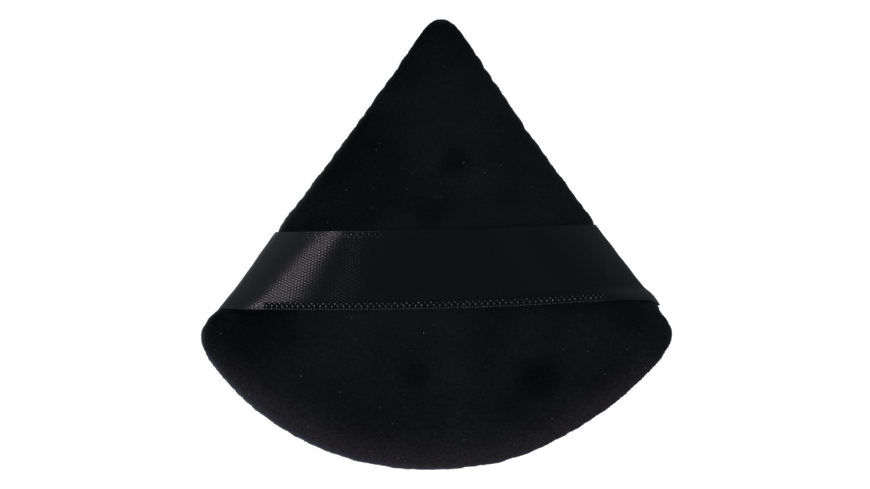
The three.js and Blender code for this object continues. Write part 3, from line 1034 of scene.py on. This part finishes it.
@dataclass(frozen=True)
class VelourFinish:
    """Cut-pile cotton velour, dyed black.

    It swallows light face on. Its rim and round front are painted a cool grey, a painted sheen where the
    pile is seen edge on; a strip beside the ribbon is painted lighter as painted light, and some spots
    darker as painted shade.
    """

    deep: str = "#0e0f11"
    nap: str = "#16181a"
    # The pressed pile's colour, which also paints shade
    pressed: str = "#030405"
    # The colour of the painted light beside the ribbon
    painted_fill_light: str = "#1e2023"
    # Painted sheen along the round front
    front: str = "#2e2b30"
    # Painted sheen along the rim
    rim: str = "#5b5e68"
    lint: str = "#828288"
    sheen: str = "#b8bcc0"
    # Real pile is about 0.1 mm across, so its grain is drawn coarser, to show
    grain_width: float = 0.45 * MM
    nap_width: float = 9.0 * MM
    lay_range: tuple[float, float] = (0.12, 0.4)
    painted_fill_share: float = 0.5
    # A hair of lint is about 0.02 mm thick, and is drawn coarser too
    lint_spacing: float = 0.85 * MM
    lint_width: float = 0.085 * MM
    lint_share: float = 0.26
    front_lint_share: float = 1.0
    lint_power: float = 2.5
    lint_origin: tuple[float, float, float] = (13.0 * MM, 7.0 * MM, 2.3 * MM)
    lint_turn: float = 0.7
    lint_stretch: float = 0.5
    # Painted sheen: the front and the rim are painted paler, palest on the left, where the low lamp lights
    # them
    rim_width: float = 3.0 * MM
    rim_power: float = 7.0
    rim_pale: float = -20.0 * MM
    rim_dark: float = 25.0 * MM
    rim_least: float = 0.2
    front_width: float = 11.0 * MM
    front_power: float = 3.0
    front_least: float = 0.72
    front_start: float = -15.0 * MM
    front_end: float = -27.0 * MM
    tip_range: tuple[float, float] = (0.3, 0.7)
    tip_shares: tuple[float, float] = (0.55, 1.45)
    # Round places where the pile lies pressed, and where shade is painted: the dark corners below the
    # ribbon's two ends and the darker upper left. x, y, radius and strength
    pressed_and_shaded_spots: tuple[tuple[float, float, float, float], ...] = (
        (17.7 * MM, -23.2 * MM, 4.6 * MM, 0.6),
        (-3.7 * MM, -22.0 * MM, 3.0 * MM, 0.35),
        (3.2 * MM, 14.0 * MM, 3.0 * MM, 0.45),
        (-1.1 * MM, 5.0 * MM, 2.8 * MM, 0.32),
        (21.9 * MM, 5.3 * MM, 3.4 * MM, 0.45),
        (-31.5 * MM, -14.6 * MM, 9.0 * MM, 0.45),
        (34.2 * MM, -11.6 * MM, 5.2 * MM, 0.5),
        (-14.0 * MM, 14.5 * MM, 12.0 * MM, 0.36),
        (1.0 * MM, 37.0 * MM, 12.0 * MM, 0.35),
    )
    dark_spot_height: float = 13.0 * MM
    dark_spot_fade: tuple[float, float] = (1.25, 0.3)

    def material(self) -> bpy.types.Material:
        """Lays the nap's lighter places, the painted light beside the ribbon, pressed places and painted
        shade, the painted sheen of the front and rim, and lint over its deepest black.

        Returns:
            The velour.
        """
        material, add = new_material("black_cotton_velour")
        place = add("TexCoord")["Object"]
        widths = (self.grain_width, self.nap_width)
        scales = [{"Vector": place, "Scale": 1 / width, "Detail": 3.0} for width in widths]
        grain, nap = (add("TexNoise", scale)["Fac"] for scale in scales)
        lay = add("Math", {0: nap, 1: grain}, operation="MULTIPLY")[0]
        lay = add("MapRange", {"Value": lay, **dict(zip(RANGE_ENDS, self.lay_range))})[0]
        # Painted light beside the ribbon, which lifts the shade that the ribbon casts there
        painted_fill_light = add("Attribute", attribute_name="painted_fill_light")["Fac"]
        painted_fill_light = add("Math", {0: painted_fill_light, 1: self.painted_fill_share}, operation="MULTIPLY")[0]
        layers = [(lay, self.nap), (painted_fill_light, self.painted_fill_light)]
        # Pressed pile, and painted shade below the ribbon's ends and over the upper left
        outer, inner = self.dark_spot_fade
        for x, y, radius, strength in self.pressed_and_shaded_spots:
            centre = (x, y, self.dark_spot_height)
            away = add("VectorMath", {0: place, 1: centre}, operation="DISTANCE")["Value"]
            fade = {"From Min": outer * radius, "From Max": inner * radius, "To Max": strength}
            dark_spot = add("MapRange", {"Value": away, **fade}, interpolation_type="SMOOTHSTEP")[0]
            layers.append((dark_spot, self.pressed))
        front, rim = self.edges(add, place, grain)
        lint = self.lint_places(add, place, front)
        layers += [(front, self.front), (rim, self.rim), (lint, self.lint)]
        colour: Any = linear(self.deep)
        for share, shade in layers:
            sockets = {"Factor": share, MIX_A: colour, MIX_B: linear(shade)}
            colour = add("Mix", sockets, data_type="RGBA")[MIX_RESULT]
        cloth = {
            "Base Color": colour,
            "Roughness": 0.95,
            "Specular IOR Level": 0.0,
            "Sheen Weight": 0.04,
            "Sheen Roughness": 0.3,
            "Sheen Tint": linear(self.sheen),
        }
        add("OutputMaterial", {"Surface": add("BsdfPrincipled", cloth)[0]})
        return material

    def edges(self, add: Adder, place: Socket, grain: Socket) -> tuple[Socket, Socket]:
        """Finds the painted sheen along the round front, and the painted sheen of the rim all round.

        Args:
            add: Adds a node to the material.
            place: Where the point is.
            grain: The pile's grain there.

        Returns:
            The share of the front's painted sheen and that of the rim's.
        """
        axes = add("SeparateXYZ", {0: place})
        inside = add("Attribute", attribute_name="edge_distance")["Fac"]
        bands = []
        for width, power in ((self.front_width, self.front_power), (self.rim_width, self.rim_power)):
            band = add("MapRange", {"Value": inside, "From Min": width, "From Max": 0.0})[0]
            bands.append(add("Math", {0: band, 1: power}, operation="POWER")[0])
        band, rim = bands
        lean = {"Value": axes["X"], "From Min": self.rim_pale, "From Max": self.rim_dark}
        leaning = add("MapRange", {**lean, "To Min": 1.0, "To Max": self.rim_least})[0]
        spread = {"Value": leaning, "From Min": self.rim_least, "To Min": self.front_least}
        tips = dict(zip(RANGE_ENDS, self.tip_range + self.tip_shares))
        ahead = {"Value": axes["Y"], "From Min": self.front_start, "From Max": self.front_end}
        front = add("MapRange", ahead, interpolation_type="SMOOTHSTEP")[0]
        for share in (band, add("MapRange", spread)[0], add("MapRange", {"Value": grain, **tips})[0]):
            front = add("Math", {0: front, 1: share}, operation="MULTIPLY")[0]
        return front, add("Math", {0: rim, 1: leaning}, operation="MULTIPLY")[0]

    def lint_places(self, add: Adder, place: Socket, front: Socket) -> Socket:
        """Scatters lint over the pile, most of it along the front, each fibre as pale as chance has it.

        Args:
            add: Adds a node to the material.
            place: Where the point is.
            front: The share of the front's painted sheen there.

        Returns:
            The share of lint.
        """
        turn = {"Rotation": (0.0, 0.0, self.lint_turn), "Scale": (1.0, self.lint_stretch, 1.0)}
        turned = add("Mapping", {"Vector": place, "Location": self.lint_origin, **turn})[0]
        fibres = add("TexVoronoi", {"Vector": turned, "Scale": 1 / self.lint_spacing})
        width = self.lint_width / self.lint_spacing
        reach = {"Value": fibres["Distance"], "From Min": width, "From Max": width / 2}
        lint = add("MapRange", reach)[0]
        chance = add("SeparateXYZ", {0: fibres["Color"]})
        shares = {"Value": front, "To Min": self.lint_share, "To Max": self.front_lint_share}
        often = add("MapRange", shares)[0]
        kept = add("Math", {0: chance[0], 1: often}, operation="LESS_THAN")[0]
        pale = add("Math", {0: chance[1], 1: self.lint_power}, operation="POWER")[0]
        for share in (kept, pale):
            lint = add("Math", {0: lint, 1: share}, operation="MULTIPLY")[0]
        return lint


@dataclass(frozen=True)
class SatinFinish:
    """Polyester satin, woven black: long floats give a soft gloss, broken into dots at its edges."""

    # The gaps between the floats are painted darker than their tops, as painted shade
    deep: str = "#06080a"
    float_colour: str = "#0d0f13"
    # Real floats are about 0.1 mm across, so the weave is drawn coarser, to show
    float_pitch: float = 0.59 * MM
    row_pitch: float = 0.467 * MM
    slant_share: float = 0.47
    back_share: float = 0.15
    dot_share: float = 0.38
    float_relief: float = 0.031 * MM
    dull_range: tuple[float, float] = (0.3, 0.68)
    top_roughness: float = 0.2
    gap_roughness: float = 0.5
    gloss: float = 0.04
    gloss_tint: str = "#ddebff"

    def material(self) -> bpy.types.Material:
        """Weaves slanting rows of floats along the ribbon's own map, with painted shade in the gaps between
        them.

        Returns:
            The satin.
        """
        material, add = new_material("black_polyester_satin")
        axes = add("SeparateXYZ", {0: add("UVMap", uv_map="weave")[0]})
        along = add("Math", {0: axes["X"], 1: math.pi / self.float_pitch}, operation="MULTIPLY")[0]
        rise = 2 * math.pi / self.row_pitch
        waves = ((1.0, rise, self.slant_share), (1.0, -rise, self.back_share), (2.0, 0.0, self.dot_share))
        floats: Any = 0.5
        for runs, slant, share in waves:
            part = add("Math", {0: along, 1: runs}, operation="MULTIPLY")[0]
            phase = add("Math", {0: axes["Y"], 1: slant, 2: part}, operation="MULTIPLY_ADD")[0]
            wave = add("Math", {0: phase}, operation="COSINE")[0]
            floats = add("Math", {0: wave, 1: share / 2, 2: floats}, operation="MULTIPLY_ADD")[0]
        relief = add("Bump", {"Height": floats, "Distance": self.float_relief, "Strength": 1.0})[0]
        dullness = dict(zip(RANGE_ENDS, (*self.dull_range, self.gap_roughness, self.top_roughness)))
        shades = {"Factor": floats, MIX_A: linear(self.deep), MIX_B: linear(self.float_colour)}
        weave = {
            "Base Color": add("Mix", shades, data_type="RGBA")[MIX_RESULT],
            "Roughness": add("MapRange", {"Value": floats, **dullness})[0],
            "Specular IOR Level": self.gloss,
            "Specular Tint": linear(self.gloss_tint),
            "Normal": relief,
        }
        add("OutputMaterial", {"Surface": add("BsdfPrincipled", weave)[0]})
        return material


@dataclass(frozen=True)
class CutEdgeFinish:
    """Polyester ribbon's woven edge seen end on: matt black, with the ends of the weft as fine bars."""

    deep: str = "#07080a"
    weft: str = "#14161a"
    # Real weft ends are about 0.1 mm apart, so the bars are drawn coarser, to show
    weft_pitch: float = 0.3 * MM

    def material(self) -> bpy.types.Material:
        """Bars the edge along the ribbon.

        Returns:
            The woven edge.
        """
        material, add = new_material("black_polyester_weft_ends")
        weave = add("UVMap", uv_map="weave")[0]
        bars = add("TexWave", {"Vector": weave, "Scale": 1 / self.weft_pitch / math.pi})["Fac"]
        shades = {"Factor": bars, MIX_A: linear(self.deep), MIX_B: linear(self.weft)}
        colour = add("Mix", shades, data_type="RGBA")[MIX_RESULT]
        matt = {"Base Color": colour, "Roughness": 1.0, "Specular IOR Level": 0.0}
        add("OutputMaterial", {"Surface": add("BsdfPrincipled", matt)[0]})
        return material


@dataclass(frozen=True)
class ThreadFinish:
    """Spun polyester sewing thread, dyed black: round and softly glossy, with the slant of its twist."""

    name: str = "black_polyester_thread"
    deep: str = "#0c0d0f"
    lit: str = "#1b1c20"
    twist: float = 0.35 * MM
    ply_relief: float = 0.02 * MM
    roughness: float = 0.4
    gloss: float = 0.5
    gloss_tint: str = "#e6efff"

    def material(self) -> bpy.types.Material:
        """Bands the thread along its twist.

        Returns:
            The thread.
        """
        material, add = new_material(self.name)
        place = add("TexCoord")["Object"]
        twist = {"Vector": place, "Scale": 1 / self.twist / math.pi, "Distortion": 1.0, "Detail": 1.0}
        plies = add("TexWave", twist, bands_direction="DIAGONAL")["Fac"]
        shades = {"Factor": plies, MIX_A: linear(self.deep), MIX_B: linear(self.lit)}
        strand = {
            "Base Color": add("Mix", shades, data_type="RGBA")[MIX_RESULT],
            "Roughness": self.roughness,
            "Specular IOR Level": self.gloss,
            "Specular Tint": linear(self.gloss_tint),
            "Normal": add("Bump", {"Height": plies, "Distance": self.ply_relief, "Strength": 0.6})[0],
        }
        add("OutputMaterial", {"Surface": add("BsdfPrincipled", strand)[0]})
        return material


@dataclass(frozen=True)
class SpongeFinish:
    """Open-cell polyurethane foam: pale, dull and pitted with cells, with painted shade in the pits."""

    pale: str = "#d8d2c6"
    # Painted shade in the cells' pits
    painted_pit_shade: str = "#a89f90"
    cell_width: float = 0.6 * MM
    cell_depth: float = 0.2 * MM

    def material(self) -> bpy.types.Material:
        """Pits the foam with cells, and paints shade into the pits.

        Returns:
            The foam.
        """
        material, add = new_material("polyurethane_foam")
        place = add("TexCoord")["Object"]
        cells = add("TexVoronoi", {"Vector": place, "Scale": 1 / self.cell_width})["Distance"]
        shades = {"Factor": cells, MIX_A: linear(self.painted_pit_shade), MIX_B: linear(self.pale)}
        foam = {
            "Base Color": add("Mix", shades, data_type="RGBA")[MIX_RESULT],
            "Roughness": 0.9,
            "Normal": add("Bump", {"Height": cells, "Distance": self.cell_depth, "Strength": 0.8})[0],
        }
        add("OutputMaterial", {"Surface": add("BsdfPrincipled", foam)[0]})
        return material


@dataclass(frozen=True)
class Lamp:
    """A soft studio lamp, turned to the puff."""

    name: str
    place: tuple[float, float, float]
    size: float
    power: float
    colour: str = "#ffffff"
    rays: Rays = Rays.ALL

    def hang(self, target: Vector) -> None:
        """Puts the lamp in the scene.

        Args:
            target: The point that it faces.
        """
        lamp = bpy.data.lights.new(self.name, "AREA")
        lamp.shape = "DISK"
        lamp.size = self.size
        lamp.energy = self.power
        lamp.color = linear(self.colour)[:3]
        stand = bpy.data.objects.new(self.name, lamp)
        stand.location = self.place
        stand.visible_diffuse = self.rays is not Rays.GLOSS
        stand.visible_glossy = self.rays is not Rays.DIFFUSE
        stand.rotation_euler = (target - Vector(self.place)).to_track_quat("-Z", "Y").to_euler()
        bpy.context.scene.collection.objects.link(stand)


@dataclass
class Studio:
    """White floor, soft lamps and the camera straight above the puff."""

    seam: float
    floor_half: float = 3.0
    floor_glow: float = 0.9
    floor_seen: str = "#808080"
    floor_plain: str = "#d0d0d0"
    white: str = "#ffffff"
    camera_height: float = 0.6
    sensor: float = 36.0
    frame_width: float = 148.4 * MM
    centre_x: float = -0.256 * MM
    centre_y: float = -0.04 * MM
    room: float = 0.3
    gloss_horizon: float = 0.8
    horizon_zone: tuple[float, float] = (0.05, 0.6)
    lamps: tuple[Lamp, ...] = (
        Lamp("gloss", (-0.302, 0.127, 0.139), 0.06, 2.5, "#ffeae3", Rays.GLOSS),
        Lamp("glint", (-0.118, 0.06, 0.38), 0.05, 0.38, "#ffeae3", Rays.GLOSS),
        Lamp("overhead", (0.0, 0.0, 0.55), 0.12, 0.62, rays=Rays.DIFFUSE),
        Lamp("front", (0.03, -0.28, 0.42), 0.45, 0.1),
        Lamp("back", (0.0, 0.3, 0.42), 0.45, 0.25),
        Lamp("rim", (-0.38, -0.3, 0.065), 0.3, 1.42, "#e4ebff"),
        Lamp("side", (0.43, -0.02, 0.386), 0.4, 1.28),
    )

    def build(self) -> None:
        """Sets the floor, the light and the camera."""
        self.lay_floor()
        for lamp in self.lamps:
            lamp.hang(Vector((0, 0, self.seam)))
        self.light_room()
        self.point_camera()

    def lay_floor(self) -> None:
        """Lays a floor that shows white and takes the puff's shadow."""
        form = bmesh.new()
        bmesh.ops.create_grid(form, x_segments=1, y_segments=1, size=self.floor_half)
        floor = new_piece("floor", form)
        material, add = new_material("white_studio_floor")
        rays = add("LightPath")
        seen = rays["Is Camera Ray"]
        for kind in ("Is Glossy Ray", "Is Transmission Ray"):
            seen = add("Math", {0: seen, 1: rays[kind]}, operation="MAXIMUM")[0]
        glow = add("Emission", {"Color": linear(self.white), "Strength": self.floor_glow})[0]
        matt = add("BsdfDiffuse", {"Color": linear(self.floor_seen)})[0]
        plain = add("BsdfDiffuse", {"Color": linear(self.floor_plain)})[0]
        white = add("AddShader", {0: glow, 1: matt})[0]
        add("OutputMaterial", {"Surface": add("MixShader", {0: seen, 1: plain, 2: white})[0]})
        dress(floor, material)

    def light_room(self) -> None:
        """Makes the room white to the camera, dim as a light, and brighter at the horizon for gloss."""
        world = bpy.data.worlds.new("studio")
        bpy.context.scene.world = world
        world.use_nodes = True
        world.node_tree.nodes.clear()
        add = partial(add_node, world.node_tree)
        rays = add("LightPath")
        gloss = {"Value": rays["Is Glossy Ray"], "To Min": self.room, "To Max": self.gloss_horizon}
        horizon = add("MapRange", gloss)[0]
        upward = add("SeparateXYZ", {0: add("TexCoord")["Generated"]})["Z"]
        climb = dict(zip(RANGE_ENDS, (*self.horizon_zone, horizon, self.room)))
        strength = add("MapRange", {"Value": upward, **climb}, interpolation_type="SMOOTHSTEP")[0]
        strength = add("Math", {0: strength, 1: rays["Is Camera Ray"]}, operation="MAXIMUM")[0]
        room = add("Background", {"Color": linear(self.white), "Strength": strength})[0]
        add("OutputWorld", {"Surface": room})

    def point_camera(self) -> None:
        """Points the camera straight down, with the apex at the top of the picture."""
        camera = bpy.data.cameras.new("camera")
        camera.sensor_width = self.sensor
        camera.lens = self.sensor * self.camera_height / self.frame_width
        stand = bpy.data.objects.new("camera", camera)
        stand.location = (self.centre_x, self.centre_y, self.seam + self.camera_height)
        bpy.context.scene.collection.objects.link(stand)
        bpy.context.scene.camera = stand


SELVEDGE_FINISHES = {
    Edge.UPPER: ThreadFinish("black_satin_upper_selvedge", "#0c0e11", "#16181c", roughness=0.25, gloss=0.2),
    Edge.LOWER: ThreadFinish("black_satin_lower_selvedge", "#0c0e11", "#16181c", roughness=0.25, gloss=0.4),
}
THREADS = (
    "seam_needle_thread",
    "seam_bobbin_thread",
    "closing_thread",
    "left_ribbon_tack",
    "right_ribbon_tack",
)


def main() -> None:
    """Builds the puff round its frame, then the studio."""
    logging.basicConfig(level=logging.INFO, format="%(name)s: %(message)s")
    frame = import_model()
    nodes = frame["nodes"]
    bpy.context.scene.view_settings.view_transform = "Standard"
    low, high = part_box("back_panel")
    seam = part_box("satin_ribbon")[0].z + CAD_RIBBON_THICKNESS / 2
    outline = SewnOutline(width=high.x - low.x, length=high.y - low.y)
    ribbon = RibbonLoop(outline, seam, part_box("satin_ribbon")[1].z)
    cushion = PadCushion(outline, ribbon, seam, high.z)

    velour = VelourFinish().material()
    for panel, piece in cushion.build(nodes).items():
        dress(piece, velour)
        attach(piece, "pad")
        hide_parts(panel.title)
        LOG.info("%s: %d faces", piece.name, len(piece.data.polygons))

    strip = ribbon.build_strip(SatinFinish().material(), CutEdgeFinish().material())
    selvedges = []
    for edge, finish in SELVEDGE_FINISHES.items():
        piece = ribbon.build_selvedge(edge)
        dress(piece, finish.material())
        selvedges.append(piece)
    for piece in (strip, *selvedges):
        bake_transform(piece)
        LOG.info("%s: %d faces", piece.name, len(piece.data.polygons))
    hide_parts("satin_ribbon")

    thread = ThreadFinish().material()
    hidden = {"sponge_core": SpongeFinish().material(), **dict.fromkeys(THREADS, thread)}
    for name, material in hidden.items():
        dress(nodes[name], material)
        LOG.info("%s: %d faces", name, len(nodes[name].data.polygons))

    Studio(seam).build()


if __name__ == "__main__":
    main()
